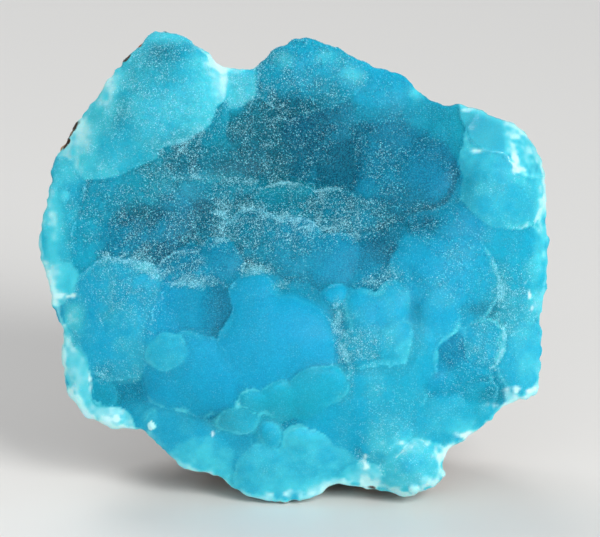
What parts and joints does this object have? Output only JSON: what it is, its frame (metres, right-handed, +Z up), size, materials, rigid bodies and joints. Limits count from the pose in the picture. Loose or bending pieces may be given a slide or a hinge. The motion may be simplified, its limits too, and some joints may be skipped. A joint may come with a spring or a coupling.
{
  "type": "hemimorphite crystal specimen",
  "caption": "Blue botryoidal hemimorphite crust on a rough brown limonite backing, leaning back a little, with a flat foot it stands on.",
  "frame": {"origin": "under the middle of the specimen's bounding box, on the surface it stands on", "axes": "+Z up, the blue face looks towards -Y and leans back 15 degrees, +X to the right of someone who looks at the face"},
  "size_m": [0.0844, 0.0444, 0.0756],
  "materials": {
    "crust": "translucent sky blue to teal, covered in fine sparkling crystal points, paler at thin broken edges",
    "matrix": "dull rough brown iron-stained rock"
  },
  "bodies": {
    "root": {"hemimorphite_crust": "crust", "brown_matrix": "matrix"}
  },
  "joints": []
}
